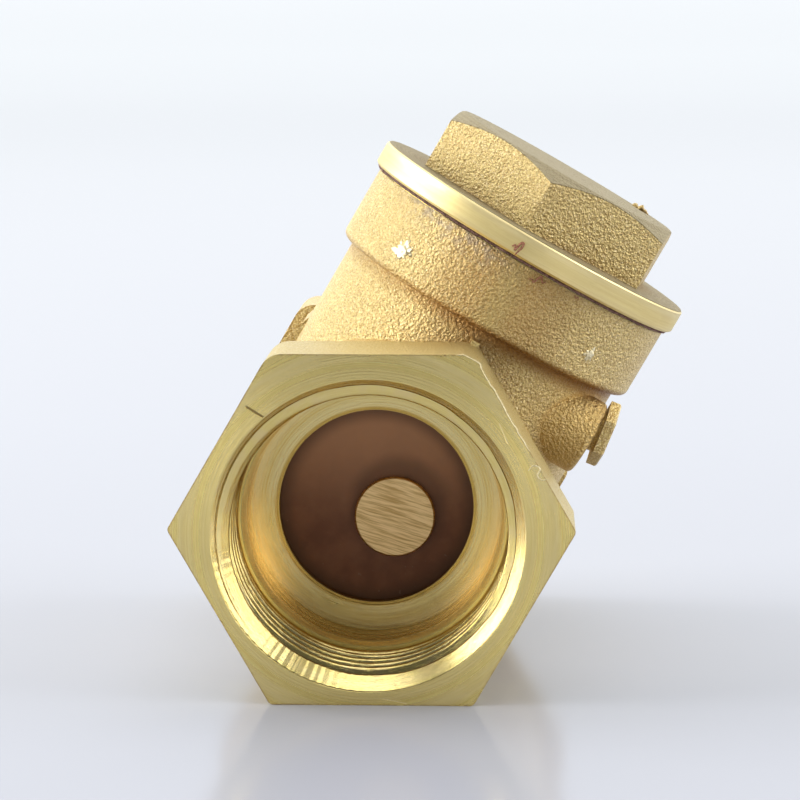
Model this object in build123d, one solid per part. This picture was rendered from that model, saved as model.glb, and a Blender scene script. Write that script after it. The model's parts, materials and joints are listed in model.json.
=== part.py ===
"""Brass swing check valve, 1 inch pipe size, with a screwed bonnet and a hinged flapper.

Frame, in millimetres: the origin is the centre of the inlet mouth, on the inlet face.
+Y runs along the flow, +Z is up.  The valve lies on the flats of its hexagon ends, so
its bonnet leans 30 degrees towards +X.

The parts are drawn upright first, with the bonnet axis along +Z and the hinge pin
along X.  The function lean() then turns them about the flow axis.
"""
from build123d import *
from math import radians, sqrt, tan
import os

# ---- the valve as a whole ----
LENGTH = 66.0              # inlet face to outlet face
OVERLAP = 1.0              # extra length where one shape runs into another
SAME_PLACE = 0.05          # points nearer than this are taken as one
LEAN_ANGLE = 30.0          # bonnet lean, about the flow axis
CAST_RISE = 0.7            # the casting sits this much nearer the bonnet than the bores
BONNET_Y = 32.0            # bonnet axis, from the inlet face

# ---- hexagon ends ----
HEX_FLATS = 38.5
INLET_HEX_LENGTH = 13.0
OUTLET_HEX_LENGTH = 12.0
TOP_CORNER_ROUND = 2.6     # the two corners beside the bonnet
CORNER_ROUND = 0.7         # the other hexagon corners

# ---- pipe threads in the ends, each a plain bore at the thread's root ----
THREAD_MAJOR_R = 16.62     # G1, 33.25 mm across
THREAD_DEPTH = 13.5        # from the face to the end of the thread
MOUTH_R = 17.23            # chamfer at the mouth

# ---- inlet bore, seat and outlet bore ----
INLET_BORE_R = 14.33
SHOULDER_Y = 20.46
PORT_R = 11.15
PORT_EDGE = 0.3
SEAT_Y = 22.6
OUTLET_BORE_R = 13.8

# ---- barrel and chamber ----
BARREL_R = 19.0
CHAMBER_R = 17.2
CHAMBER_END_Y = 48.0
HOUSING_HALF_WIDTH = 17.9  # the bulge above the barrel, where the flapper swings up
HOUSING_TOP = 14.5
HOUSING_END_Y = 48.8
HOUSING_WALL = 1.5
HOUSING_CORNER = 8.0
HOUSING_EDGE_ROUND = 2.0

# ---- neck and collar ----
NECK_R = 17.53
NECK_BORE_R = 15.4
NECK_FLOOR = 15.6
COLLAR_R = 18.98
COLLAR_BOTTOM = 24.2
COLLAR_TOP = 33.05
COLLAR_ROUND = 0.9
CAP_BORE_R = 16.5          # root of the cap's thread in the collar
CAP_BORE_FLOOR = 25.6
FIN_THICKNESS = 0.9        # mould line between the inlet hexagon and the neck
FIN_TOP = 23.0
FIN_SINK = 0.6             # how far the fin runs into the neck

# ---- hinge pin, its boss and its plug ----
HINGE_Y = 23.2
HINGE_Z = 18.9
BOSS_R = 4.5
BOSS_START_X = 6.0
BOSS_FACE_X = 17.3
BOSS_DROP = 0.2            # the boss is cast this much below the pin axis
BOSS_EDGE_ROUND = 0.6
LUG_R = 3.8
LUG_FACE_X = 9.3
PIN_R = 1.8
PIN_CLEARANCE = 0.05
PIN_START_X = -12.1
PIN_END_X = 12.4
PIN_END_CHAMFER = 0.3
PIN_HOLE_RESERVE = 0.2     # the blind end of the pin hole, past the pin
PIN_HOLE_END_X = 15.3
PLUG_TILT = 7.5            # the plug hole is drilled this far off the pin axis
PLUG_SEAT_X = 17.85        # centre of the underside of the plug head
PLUG_SEAT_Z = 20.0
PLUG_SHANK_R = 2.4
PLUG_SHANK_LENGTH = 5.0
PLUG_HEAD_FLATS = 6.7
PLUG_HEAD_THICKNESS = 1.25
PLUG_HEAD_CHAMFER = 0.2
PLUG_TIP_CHAMFER = 0.4

# ---- bonnet cap and gasket ----
GASKET_THICKNESS = 0.4
GASKET_R = 18.6
GASKET_BORE_R = 16.7
FLANGE_R = 19.81
FLANGE_THICKNESS = 2.85
FLANGE_CHAMFER = 0.25
CAP_HEX_FLATS = 28.0
CAP_HEX_TURN = -5.6        # where the hexagon stopped when the cap was tightened
CAP_TOP = 43.65
CAP_SKIRT_R = 15.35        # root of the thread on the cap
CAP_SKIRT_LENGTH = 6.9
CAP_POCKET_R = 12.2
CAP_POCKET_TOP = 38.2
CAP_CHAMFER_ANGLE = 30.0
CAP_CHAMFER_SINK = 0.2     # how far inside the flats the turned top ends

# ---- flapper ----
SIDE_SHIFT = 2.5           # the flapper hangs at the low end of its play on the pin
FLAPPER_Z = -0.2           # height of the flapper's centre
SEAL_FACE_Y = 22.8
SEAL_R = 13.75             # covers the port even when the flapper hangs to one side
SEAL_THICKNESS = 2.0
SEAL_EDGE_ROUND = 0.2
HOLDER_R = 13.3
HOLDER_THICKNESS = 1.5
HOLDER_CHAMFER = 0.5
HOLDER_HUB_R = 5.4
HOLDER_HUB_HEIGHT = 0.4
ARM_GAP = 0.1
ARM_THICKNESS = 2.0
ARM_RING_R = 5.0
ARM_WIDTH = 8.0
ARM_BEND_Z = 14.0          # where the hanger bends towards the pin
ARM_BEND_RISE = 0.9        # the same bend on its outer side, this much higher
EYE_R = 2.9
EYE_LENGTH = 13.4
STUD_HEAD_R = 4.6
STUD_HEAD_THICKNESS = 1.0
STUD_HEAD_CHAMFER = 0.15
STUD_R = 2.45
STUD_BORE_R = 2.5
STUD_TAIL = 0.7
WASHER_R = 4.3
WASHER_THICKNESS = 0.7
NUT_FLATS = 7.6
NUT_THICKNESS = 2.3
NUT_CHAMFER = 0.4

# ---- heights that follow from the sizes above ----
FLANGE_BOTTOM = COLLAR_TOP + GASKET_THICKNESS
FLANGE_TOP = FLANGE_BOTTOM + FLANGE_THICKNESS
HOLDER_Y = SEAL_FACE_Y + SEAL_THICKNESS
HUB_END_Y = HOLDER_Y + HOLDER_THICKNESS + HOLDER_HUB_HEIGHT
ARM_Y = HUB_END_Y + ARM_GAP
ARM_END_Y = ARM_Y + ARM_THICKNESS
WASHER_Y = ARM_END_Y + ARM_GAP
NUT_Y = WASHER_Y + WASHER_THICKNESS
STUD_END_Y = NUT_Y + NUT_THICKNESS + STUD_TAIL


def lean(shape):
    """Turn an upright shape about the flow axis, to the pose the valve lies in."""
    return Rot(0, LEAN_ANGLE, 0) * shape


def along_flow(radius, start, end, x=0.0, z=0.0):
    """Round bar along the flow axis, from start to end."""
    bar = Cylinder(radius, end - start, align=(Align.CENTER, Align.CENTER, Align.MIN))
    return Pos(x, start, z) * Rot(-90, 0, 0) * bar


def along_pin(radius, start, end, y=HINGE_Y, z=HINGE_Z):
    """Round bar along the hinge pin's axis, from start to end."""
    bar = Cylinder(radius, end - start, align=(Align.CENTER, Align.CENTER, Align.MIN))
    return Pos(start, y, z) * Rot(0, 90, 0) * bar


def along_bonnet(radius, bottom, top):
    """Round bar along the bonnet axis, from bottom to top."""
    bar = Cylinder(radius, top - bottom, align=(Align.CENTER, Align.CENTER, Align.MIN))
    return Pos(0, BONNET_Y, bottom) * bar


def hexagon(flats, height, turn=0.0):
    """Hexagonal bar standing on the XY plane, with one corner at the angle turn."""
    outline = RegularPolygon(flats / 2, 6, major_radius=False, rotation=turn)
    return extrude(outline, height)


def block(low, high):
    """Box between two opposite corners."""
    size = [b - a for a, b in zip(low, high)]
    return Pos(*low) * Box(*size, align=(Align.MIN, Align.MIN, Align.MIN))


def end_hexagon(start, length):
    """Hexagon end of the body, one corner towards the bonnet."""
    bar = hexagon(HEX_FLATS, length, turn=30)
    bar = Pos(0, start, CAST_RISE) * Rot(-90, 0, 0) * bar
    corner_r = HEX_FLATS / sqrt(3)
    by_height = bar.edges().filter_by(Axis.Y).sort_by(Axis.Z)
    top_corner = by_height[-1:]
    # the other rounded corner is one step round, on the side away from the lean
    side = by_height.filter_by(lambda edge: abs(edge.center().Z - CAST_RISE - corner_r / 2) < SAME_PLACE)
    side_corner = side.sort_by(Axis.X)[:1]
    bar = fillet(top_corner + side_corner, TOP_CORNER_ROUND)

    def is_sharp(edge):
        reach = sqrt(edge.center().X ** 2 + (edge.center().Z - CAST_RISE) ** 2)
        return abs(reach - corner_r) < SAME_PLACE

    return fillet(bar.edges().filter_by(Axis.Y).filter_by(is_sharp), CORNER_ROUND)


def threaded_mouth(direction, face_y):
    """Solid of the space inside a threaded end, with its 45 degree mouth chamfer."""
    chamfer_depth = MOUTH_R - THREAD_MAJOR_R
    steps = [(0, -OVERLAP), (MOUTH_R, -OVERLAP), (MOUTH_R, 0), (THREAD_MAJOR_R, chamfer_depth),
             (THREAD_MAJOR_R, THREAD_DEPTH), (0, THREAD_DEPTH)]
    outline = [(r, face_y + direction * depth) for r, depth in steps]
    return revolve(make_face(Polyline(*outline, close=True)), Axis.Y, 360)


def body_outside():
    """Outer shape of the casting, before its bores are cut."""
    barrel_end = LENGTH - OUTLET_HEX_LENGTH + OVERLAP
    outside = along_flow(BARREL_R, INLET_HEX_LENGTH - OVERLAP, barrel_end, z=CAST_RISE)
    housing = block((-HOUSING_HALF_WIDTH, BONNET_Y - OVERLAP, 0),
                    (HOUSING_HALF_WIDTH, HOUSING_END_Y, HOUSING_TOP))
    back_edges = housing.edges().filter_by(Axis.Z).group_by(Axis.Y)[-1]
    housing = fillet(back_edges, HOUSING_CORNER)
    housing = fillet(housing.faces().sort_by(Axis.Z)[-1].edges(), HOUSING_EDGE_ROUND)
    outside += housing
    outside += along_bonnet(NECK_R, 0, COLLAR_BOTTOM + OVERLAP)
    collar = along_bonnet(COLLAR_R, COLLAR_BOTTOM, COLLAR_TOP)
    collar = fillet(collar.edges().filter_by(GeomType.CIRCLE).sort_by(Axis.Z)[:1], COLLAR_ROUND)
    outside += collar
    boss = along_pin(BOSS_R, BOSS_START_X, BOSS_FACE_X, z=HINGE_Z - BOSS_DROP)
    boss = fillet(boss.edges().filter_by(GeomType.CIRCLE).sort_by(Axis.X)[-1:], BOSS_EDGE_ROUND)
    outside += boss
    outside += end_hexagon(0, INLET_HEX_LENGTH)
    outside += end_hexagon(LENGTH - OUTLET_HEX_LENGTH, OUTLET_HEX_LENGTH)
    fin_half = FIN_THICKNESS / 2
    outside += block((-fin_half, INLET_HEX_LENGTH - OVERLAP, BARREL_R - OVERLAP),
                     (fin_half, BONNET_Y - NECK_R + FIN_SINK, FIN_TOP))
    return outside


def body_hollow():
    """Everything that is cut out of the casting."""
    hollow = threaded_mouth(1, 0) + threaded_mouth(-1, LENGTH)
    hollow += along_flow(INLET_BORE_R, THREAD_DEPTH - OVERLAP, SHOULDER_Y)
    port = along_flow(PORT_R, SHOULDER_Y - OVERLAP, SEAT_Y + OVERLAP)
    port += along_flow(PORT_R + PORT_EDGE, SHOULDER_Y - OVERLAP, SHOULDER_Y + PORT_EDGE)
    hollow += port
    hollow += along_flow(CHAMBER_R, SEAT_Y, CHAMBER_END_Y, z=CAST_RISE)
    inner_half = HOUSING_HALF_WIDTH - HOUSING_WALL
    housing = block((-inner_half, BONNET_Y - OVERLAP, 0),
                    (inner_half, HOUSING_END_Y - HOUSING_WALL, HOUSING_TOP - HOUSING_WALL))
    back_edges = housing.edges().filter_by(Axis.Z).group_by(Axis.Y)[-1]
    hollow += fillet(back_edges, HOUSING_CORNER - HOUSING_WALL)
    hollow += along_bonnet(NECK_BORE_R, NECK_FLOOR, COLLAR_TOP)
    behind_seat = block((-NECK_BORE_R, SEAT_Y, 0), (NECK_BORE_R, CHAMBER_END_Y, NECK_FLOOR + OVERLAP))
    hollow += behind_seat & along_bonnet(NECK_BORE_R, 0, NECK_FLOOR + OVERLAP)
    hollow += along_bonnet(CAP_BORE_R, CAP_BORE_FLOOR, COLLAR_TOP + OVERLAP)
    hollow += along_flow(OUTLET_BORE_R, CHAMBER_END_Y - OVERLAP, LENGTH - THREAD_DEPTH + OVERLAP)
    for low, high in ((-NECK_BORE_R, -LUG_FACE_X), (LUG_FACE_X, NECK_BORE_R)):
        hollow -= along_pin(LUG_R, low, high)
    return hollow


def plug_axis():
    """Where the pin plug's head sits, with its Z axis pointing out of the hole."""
    return Pos(PLUG_SEAT_X, HINGE_Y, PLUG_SEAT_Z) * Rot(0, 90 - PLUG_TILT, 0)


def valve_body():
    """The casting with its threads, seat, chamber and pin holes."""
    body = body_outside() - body_hollow()
    body -= along_pin(PIN_R + PIN_CLEARANCE, PIN_START_X - PIN_HOLE_RESERVE, PIN_HOLE_END_X)
    drill = Cylinder(PLUG_SHANK_R + PIN_CLEARANCE, PLUG_SHANK_LENGTH + 3 * OVERLAP,
                     align=(Align.CENTER, Align.CENTER, Align.MIN))
    body -= plug_axis() * Pos(0, 0, -PLUG_SHANK_LENGTH - OVERLAP) * drill
    return body


def bonnet_cap():
    """Screwed cap: round flange, hexagon head and a hollow threaded skirt."""
    cap = along_bonnet(FLANGE_R, FLANGE_BOTTOM, FLANGE_TOP)
    cap = chamfer(cap.edges().filter_by(GeomType.CIRCLE), FLANGE_CHAMFER)
    head = hexagon(CAP_HEX_FLATS, CAP_TOP - FLANGE_TOP + OVERLAP, turn=CAP_HEX_TURN - 90)
    head = Pos(0, BONNET_Y, FLANGE_TOP - OVERLAP) * head
    blank_r = CAP_HEX_FLATS / sqrt(3) + OVERLAP
    top_r = CAP_HEX_FLATS / 2 - CAP_CHAMFER_SINK
    drop = (blank_r - top_r) * tan(radians(CAP_CHAMFER_ANGLE))
    turned = Cone(blank_r, top_r, drop, align=(Align.CENTER, Align.CENTER, Align.MAX))
    turned = Pos(0, BONNET_Y, CAP_TOP) * turned
    turned += along_bonnet(blank_r, FLANGE_TOP - 2 * OVERLAP, CAP_TOP - drop)
    cap += head & turned
    cap += along_bonnet(CAP_SKIRT_R, FLANGE_BOTTOM - CAP_SKIRT_LENGTH, FLANGE_BOTTOM + OVERLAP)
    cap -= along_bonnet(CAP_POCKET_R, FLANGE_BOTTOM - CAP_SKIRT_LENGTH - OVERLAP, CAP_POCKET_TOP)
    return cap


def cap_gasket():
    """Flat sealing ring between the collar and the cap's flange."""
    ring = along_bonnet(GASKET_R, COLLAR_TOP, FLANGE_BOTTOM)
    return ring - along_bonnet(GASKET_BORE_R, COLLAR_TOP - OVERLAP, FLANGE_TOP)


def hinge_pin():
    """Round pin that the flapper's arm hangs on."""
    pin = along_pin(PIN_R, PIN_START_X, PIN_END_X)
    return chamfer(pin.edges().filter_by(GeomType.CIRCLE), PIN_END_CHAMFER)


def pin_plug():
    """Hexagon-headed screw that closes the pin hole."""
    head = hexagon(PLUG_HEAD_FLATS, PLUG_HEAD_THICKNESS, turn=0)
    head = chamfer(head.faces().sort_by(Axis.Z)[-1].edges(), PLUG_HEAD_CHAMFER)
    shank = Cylinder(PLUG_SHANK_R, PLUG_SHANK_LENGTH, align=(Align.CENTER, Align.CENTER, Align.MAX))
    shank = chamfer(shank.edges().filter_by(GeomType.CIRCLE).sort_by(Axis.Z)[:1], PLUG_TIP_CHAMFER)
    return plug_axis() * (head + shank)


def flapper_bar(radius, start, end):
    """Round bar on the flapper's own centre line."""
    return along_flow(radius, start, end, x=SIDE_SHIFT, z=FLAPPER_Z)


def hinge_arm():
    """Hanger: an eye on the pin, a bent web behind the disc and a ring round the stud."""
    # the web leaves the eye at its lower front and at its upper back, just inside its rim
    front = (HINGE_Y + 0.35 * EYE_R, HINGE_Z - 0.75 * EYE_R)
    back = (HINGE_Y + 0.75 * EYE_R, HINGE_Z + 0.55 * EYE_R)
    outline = Polyline(front, (ARM_Y, ARM_BEND_Z), (ARM_Y, FLAPPER_Z), (ARM_END_Y, FLAPPER_Z),
                       (ARM_END_Y, ARM_BEND_Z + ARM_BEND_RISE), back, close=True)
    web = extrude(Plane.YZ * make_face(outline), ARM_WIDTH)
    arm = Pos(SIDE_SHIFT - ARM_WIDTH / 2, 0, 0) * web
    half = EYE_LENGTH / 2
    arm += along_pin(EYE_R, SIDE_SHIFT - half, SIDE_SHIFT + half)
    arm += flapper_bar(ARM_RING_R, ARM_Y, ARM_END_Y)
    arm -= flapper_bar(STUD_BORE_R, ARM_Y - OVERLAP, ARM_END_Y + OVERLAP)
    arm -= along_pin(PIN_R + PIN_CLEARANCE, SIDE_SHIFT - half - OVERLAP, SIDE_SHIFT + half + OVERLAP)
    return arm


def disc_holder():
    """Brass plate behind the seal, with a raised hub for the hanger to bear on."""
    plate = flapper_bar(HOLDER_R, HOLDER_Y, HOLDER_Y + HOLDER_THICKNESS)
    plate = chamfer(plate.edges().filter_by(GeomType.CIRCLE).sort_by(Axis.Y)[-1:], HOLDER_CHAMFER)
    plate += flapper_bar(HOLDER_HUB_R, HOLDER_Y, HUB_END_Y)
    return plate - flapper_bar(STUD_R, HOLDER_Y - OVERLAP, HUB_END_Y + OVERLAP)


def seal_disc():
    """Rubber disc that closes the port."""
    disc = flapper_bar(SEAL_R, SEAL_FACE_Y, HOLDER_Y)
    disc = fillet(disc.edges().filter_by(GeomType.CIRCLE).sort_by(Axis.Y)[:1], SEAL_EDGE_ROUND)
    return disc - flapper_bar(STUD_R, SEAL_FACE_Y - OVERLAP, HOLDER_Y + OVERLAP)


def seal_stud():
    """Stud with a round flat head in front of the seal."""
    head = flapper_bar(STUD_HEAD_R, SEAL_FACE_Y - STUD_HEAD_THICKNESS, SEAL_FACE_Y)
    head = chamfer(head.edges().filter_by(GeomType.CIRCLE).sort_by(Axis.Y)[:1], STUD_HEAD_CHAMFER)
    return head + flapper_bar(STUD_R, SEAL_FACE_Y, STUD_END_Y)


def stud_washer():
    """Washer between the hanger and the nut."""
    ring = flapper_bar(WASHER_R, WASHER_Y, NUT_Y)
    return ring - flapper_bar(STUD_R, WASHER_Y - OVERLAP, NUT_Y + OVERLAP)


def stud_nut():
    """Nut that holds the disc on the hanger."""
    nut = Pos(SIDE_SHIFT, NUT_Y, FLAPPER_Z) * Rot(-90, 0, 0) * hexagon(NUT_FLATS, NUT_THICKNESS)
    nut = chamfer(nut.faces().sort_by(Axis.Y)[-1].edges(), NUT_CHAMFER)
    return nut - flapper_bar(STUD_R, NUT_Y - OVERLAP, NUT_Y + NUT_THICKNESS + OVERLAP)


PARTS = {
    "valve_body": valve_body,
    "bonnet_cap": bonnet_cap,
    "cap_gasket": cap_gasket,
    "hinge_pin": hinge_pin,
    "pin_plug": pin_plug,
    "hinge_arm": hinge_arm,
    "disc_holder": disc_holder,
    "seal_disc": seal_disc,
    "seal_stud": seal_stud,
    "stud_washer": stud_washer,
    "stud_nut": stud_nut,
}

os.makedirs("parts", exist_ok=True)
for name, make in PARTS.items():
    shape = lean(make())
    shape.label = name
    export_step(shape, f"parts/{name}.step")
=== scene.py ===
"""Looks of a brass swing check valve, built round its CAD frame.

Lengths in this script are millimetres unless a name says otherwise, and MM turns them into
metres where a mesh or a shader needs them. The upright frame is the valve with its bonnet
straight up: the part's own frame is the upright one turned LEAN about the flow axis.
"""
import json
import math
import random
from types import SimpleNamespace

import bmesh
import bpy
import numpy as np
from mathutils import Matrix, Vector, noise


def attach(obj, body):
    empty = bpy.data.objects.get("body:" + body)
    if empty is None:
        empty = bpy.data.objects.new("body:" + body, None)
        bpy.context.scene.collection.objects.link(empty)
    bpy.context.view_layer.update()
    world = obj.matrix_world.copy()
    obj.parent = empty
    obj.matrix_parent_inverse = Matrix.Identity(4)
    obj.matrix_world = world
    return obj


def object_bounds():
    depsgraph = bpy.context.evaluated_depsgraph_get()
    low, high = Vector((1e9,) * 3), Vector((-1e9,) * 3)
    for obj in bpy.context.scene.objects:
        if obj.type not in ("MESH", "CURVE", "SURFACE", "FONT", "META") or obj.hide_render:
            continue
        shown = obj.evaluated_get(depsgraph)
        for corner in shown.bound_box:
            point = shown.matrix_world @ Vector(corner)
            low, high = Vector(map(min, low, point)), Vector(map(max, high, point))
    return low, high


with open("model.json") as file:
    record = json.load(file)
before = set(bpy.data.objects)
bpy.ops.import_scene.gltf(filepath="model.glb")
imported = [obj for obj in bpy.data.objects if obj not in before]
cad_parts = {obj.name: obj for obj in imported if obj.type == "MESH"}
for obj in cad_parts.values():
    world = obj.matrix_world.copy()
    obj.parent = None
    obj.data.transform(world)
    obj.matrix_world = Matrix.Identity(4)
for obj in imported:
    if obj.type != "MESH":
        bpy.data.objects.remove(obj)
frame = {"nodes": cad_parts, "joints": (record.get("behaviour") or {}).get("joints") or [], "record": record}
CAD_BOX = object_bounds()

MM = 0.001
LEAN = math.radians(30)
UPRIGHT = Matrix.Rotation(LEAN, 4, "Y")
MOUNTS = {mount["name"]: mount for mount in frame["record"]["mounts"]}
JOINTS = {joint["name"]: joint for joint in frame["joints"]}

# ---- sizes that the marks and masks follow ----
LENGTH = 66.0
THREAD_ROOT = MOUNTS["inlet_thread"]["dims"]["r_mm"]
THREAD_CREST = 15.15
THREAD_PITCH = 2.309
THREAD_DEPTH = 13.5
MOUTH_R = 17.23
SHOULDER_Y = 20.46
SEAT_Y = 22.6
HEX_HALF = 19.25
CAST_RISE = 0.7
BONNET_Y = JOINTS["cap_turn"]["pos_m"][1] / MM
HINGE_Y = JOINTS["flapper_swing"]["pos_m"][1] / MM
HINGE_HEIGHT = 18.9
COLLAR_R = 18.98
COLLAR_BOTTOM = 24.2
COLLAR_TOP = 33.05
CAP_THREAD_PITCH = 2.0
COLLAR_THREAD_ROOT = 16.5
COLLAR_THREAD_CREST = 15.65
COLLAR_THREAD_BOTTOM = 25.8
SKIRT_ROOT = 15.35
SKIRT_CREST = 16.3
SKIRT_BOTTOM = 26.55
FLANGE_R = 19.81
FLANGE_BOTTOM = 33.45
FLANGE_TOP = 36.3
CAP_HEX_HALF = 14.0
CAP_TOP = 43.65
# the stud's centre in the upright frame; the masks use it in the part's own frame, where it
# lies 1.3 mm from the stud's axis
STUD_X = 2.5
STUD_Z = -0.2
JOINT_HEIGHT = (COLLAR_TOP + FLANGE_BOTTOM) / 2
GASKET_EDGE_R = 19.12

# ---- sizes of what the tools left ----
BURIED = 0.2                           # how far a thread's end rings are sunk into the metal
THREAD_SKIN = 0.02                     # keeps a thread's wall off the CAD wall behind it
THREAD_LEAD_IN = 0.9
RING_STEP = 0.105                      # between the rings of a thread's wall
PIPE_THREAD_SIDES = 480
BONNET_THREAD_SIDES = 216
THREAD_RUN_OUT = 2.2
CHATTER_DEPTH = 0.08
CHATTER_TURN = math.radians(130)
CHATTER_STEP = math.radians(3.6)
BURR_CORNER = Vector((11.46, 0, 19.86))
BURR_LENGTH = 12.4

# ---- strength of the room's light, on the camera's side and behind the valve ----
WORLD_DIM = 0.09
WORLD_BRIGHT = 1.22


def upright_point(x, y, z):
    """A point of the upright frame, in metres in the part's frame."""
    return UPRIGHT @ (Vector((x, y, z)) * MM)


def round_bonnet(radius, angle, height):
    """A point round the bonnet axis; angle 0 faces the inlet and 90 the pin plug's side."""
    turn = math.radians(angle)
    return upright_point(radius * math.sin(turn), BONNET_Y - radius * math.cos(turn), height)


# ---- meshes ----
def mesh_object(name, vertices, faces, smooth=True):
    """A linked mesh object from points in metres, with its normals made to face out."""
    mesh = bpy.data.meshes.new(name)
    mesh.from_pydata([tuple(v) for v in vertices], [], faces)
    mesh.update()
    work = bmesh.new()
    work.from_mesh(mesh)
    bmesh.ops.recalc_face_normals(work, faces=work.faces)
    work.to_mesh(mesh)
    work.free()
    for polygon in mesh.polygons:
        polygon.use_smooth = smooth
    thing = bpy.data.objects.new(name, mesh)
    bpy.context.scene.collection.objects.link(thing)
    return thing


def ring_faces(rings, sides, close_rings):
    """Quads that join rings of points, each ring closed on itself."""
    faces = []
    last = rings if close_rings else rings - 1
    for i in range(last):
        here = i * sides
        there = ((i + 1) % rings) * sides
        for k in range(sides):
            after = (k + 1) % sides
            faces.append((here + k, here + after, there + after, there + k))
    return faces


def tube(name, points, radii, sides=8):
    """Closed tube through points in metres, with a radius in millimetres at each."""
    vertices = []
    side = Vector((0, 0, 1))
    for i, point in enumerate(points):
        ahead = points[min(i + 1, len(points) - 1)]
        behind = points[max(i - 1, 0)]
        along = (ahead - behind).normalized()
        side = (side - along * side.dot(along)).normalized()
        across = along.cross(side)
        for k in range(sides):
            turn = 2 * math.pi * k / sides
            offset = side * math.cos(turn) + across * math.sin(turn)
            vertices.append(point + offset * radii[i] * MM)
    faces = ring_faces(len(points), sides, False)
    faces.append(tuple(range(sides)))
    faces.append(tuple(range((len(points) - 1) * sides, len(points) * sides)))
    return mesh_object(name, vertices, faces)


def smooth_line(points, steps):
    """Points along a smooth curve through the given ones."""
    padded = [points[0] * 2 - points[1]] + points + [points[-1] * 2 - points[-2]]
    line = []
    for i in range(len(points) - 1):
        a, b, c, d = padded[i:i + 4]
        for k in range(steps):
            t = k / steps
            line.append(0.5 * (2 * b + (c - a) * t + (2 * a - 5 * b + 4 * c - d) * t ** 2
                               + (3 * b - a - 3 * c + d) * t ** 3))
    line.append(points[-1])
    return line


def ridge(share):
    """Height of a pipe thread's section, 0 at its foot and 1 at its top, over one pitch."""
    slope = 1 - np.abs(2 * (share % 1.0) - 1)
    height = np.clip((slope - 0.14) / 0.72, 0, 1)
    return height * height * (3 - 2 * height)


def thread_tube(name, place, radius_at, hidden_r, start, end, sides):
    """Closed tube with a worked inner or outer wall.

    radius_at(depth, turn) is the worked wall, and hidden_r the wall buried in the metal.
    place takes the tube, whose axis is its Z, to the part's frame.
    """
    count = int(round((end - start) / RING_STEP)) + 1
    depths = np.linspace(start, end, count)
    turns = np.linspace(0, 2 * math.pi, sides, endpoint=False)
    depth, turn = np.meshgrid(depths, turns, indexing="ij")
    radius = radius_at(depth, turn)
    worked = np.stack([radius * np.cos(turn), radius * np.sin(turn), depth], axis=-1)
    rings = list(worked)
    for buried in (end - BURIED, start + BURIED):
        rings.append(np.stack([hidden_r * np.cos(turns), hidden_r * np.sin(turns),
                               np.full(sides, buried)], axis=-1))
    points = np.concatenate(rings) * MM
    vertices = [place @ Vector(p) for p in points]
    return mesh_object(name, vertices, ring_faces(len(rings), sides, True))


def pipe_thread_radius(depth, turn):
    """Wall of a threaded end: mouth chamfer with tool chatter, thread turns, and run-out."""
    groove = ridge(depth / THREAD_PITCH - turn / (2 * math.pi))
    fade = np.clip((THREAD_DEPTH - 0.6 - depth) / THREAD_RUN_OUT, 0, 1)
    thread = THREAD_CREST + (THREAD_ROOT - THREAD_CREST) * groove * fade
    sector = np.clip((np.sin(turn - CHATTER_TURN) - 0.70) / 0.15, 0, 1)
    chatter = CHATTER_DEPTH * sector * (turn / CHATTER_STEP % 1.0)
    wave = 0.012 * np.sin(3 * turn) + 0.010 * np.sin(7 * turn + 1)
    chamfer = MOUTH_R - 0.045 - depth - chatter + wave
    return np.maximum(thread, chamfer)


def pipe_thread(name, at_outlet):
    """Turns of the G1 thread in one end of the body."""
    # the tube's Z runs into the valve, its X is up and its Y points to +X at the inlet
    inward = Matrix(((0, 1, 0, 0), (0, 0, 1, 0), (1, 0, 0, 0), (0, 0, 0, 1)))
    place = inward
    if at_outlet:
        swing = Matrix.Rotation(math.pi, 4, "Z")
        place = Matrix.Translation((0, LENGTH * MM, 0)) @ swing @ inward
    return thread_tube(name, place, pipe_thread_radius, MOUTH_R + 0.5, 0.0, THREAD_DEPTH + 0.3,
                       PIPE_THREAD_SIDES)


def bonnet_place():
    """Takes a tube along Z to the bonnet axis, its X towards the inlet."""
    facing = Matrix.Rotation(math.radians(-90), 4, "Z")
    return UPRIGHT @ Matrix.Translation((0, BONNET_Y * MM, 0)) @ facing


def collar_thread():
    """Thread inside the collar, which the cap screws into."""
    def radius_at(depth, turn):
        groove = ridge(depth / CAP_THREAD_PITCH - turn / (2 * math.pi))
        lead = np.clip((COLLAR_TOP - 0.2 - depth) / THREAD_LEAD_IN, 0, 1)
        crest = COLLAR_THREAD_ROOT - (COLLAR_THREAD_ROOT - COLLAR_THREAD_CREST) * lead
        return crest + (COLLAR_THREAD_ROOT - THREAD_SKIN - crest) * groove
    return thread_tube("collar_thread", bonnet_place(), radius_at, COLLAR_THREAD_ROOT + 0.3,
                       COLLAR_THREAD_BOTTOM, COLLAR_TOP - 0.1, BONNET_THREAD_SIDES)


def cap_thread():
    """Thread on the skirt of the cap, in mesh with the collar's."""
    def radius_at(depth, turn):
        height = ridge(depth / CAP_THREAD_PITCH - turn / (2 * math.pi))
        lead = np.clip((depth - SKIRT_BOTTOM) / THREAD_LEAD_IN, 0, 1)
        undercut = np.clip((FLANGE_BOTTOM - 1.0 - depth) / 0.5, 0, 1)
        rise = (SKIRT_CREST - SKIRT_ROOT) * height * lead * undercut
        return SKIRT_ROOT + THREAD_SKIN + rise
    return thread_tube("cap_thread", bonnet_place(), radius_at, SKIRT_ROOT - 0.3,
                       SKIRT_BOTTOM + 0.05, FLANGE_BOTTOM - 0.1, BONNET_THREAD_SIDES)


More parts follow.
